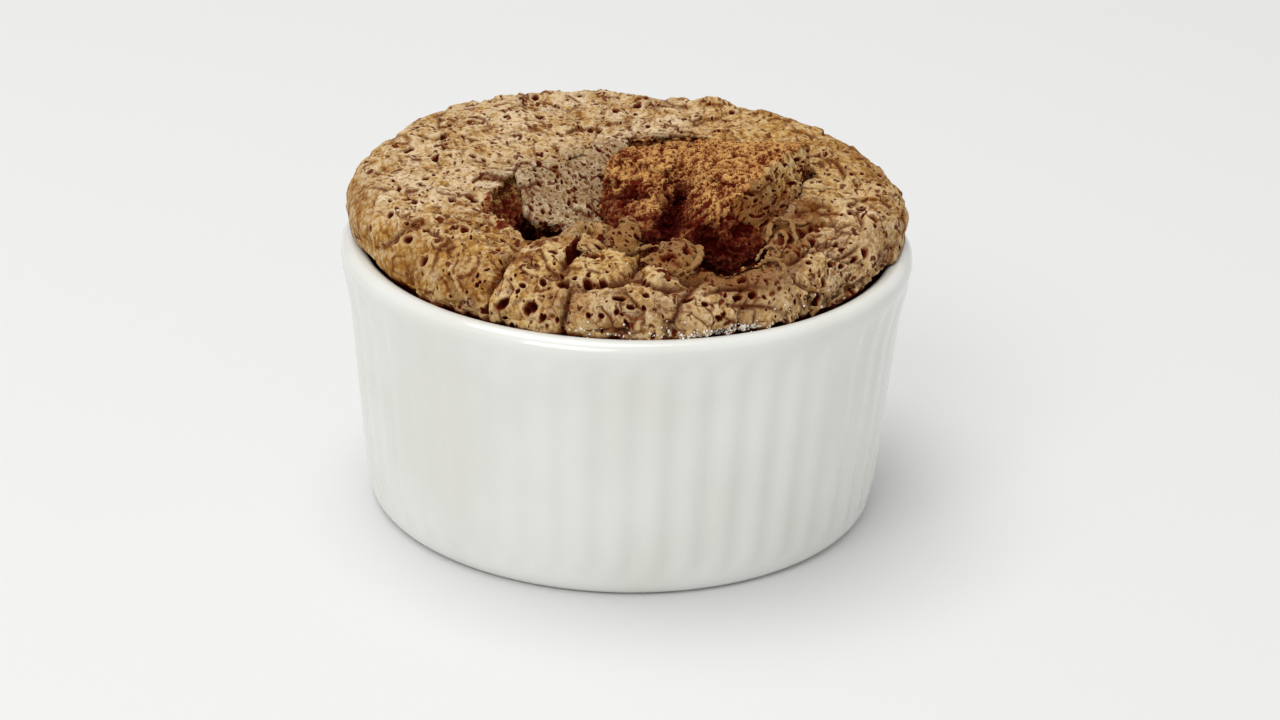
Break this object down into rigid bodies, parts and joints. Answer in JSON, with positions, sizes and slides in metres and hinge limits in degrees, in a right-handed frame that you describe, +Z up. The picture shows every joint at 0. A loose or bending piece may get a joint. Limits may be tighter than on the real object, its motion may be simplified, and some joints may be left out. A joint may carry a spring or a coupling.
{
  "type": "souffle in a ramekin",
  "caption": "Baked nut souffle with a domed, porous brown crust, a spooned hollow and a raised torn chunk, in a fluted white ramekin.",
  "frame": {"origin": "centre of the ramekin's foot, on the surface it stands on", "axes": "+Z up through the middle of the ramekin, -Y towards the guest, +X to the guest's right"},
  "size_m": [0.095, 0.095, 0.0619],
  "materials": {
    "porcelain": "glossy white glaze",
    "baked_crust": "dry, matte, porous brown baked crust"
  },
  "bodies": {
    "root": {"ramekin": "porcelain", "souffle": "baked_crust"}
  },
  "joints": []
}
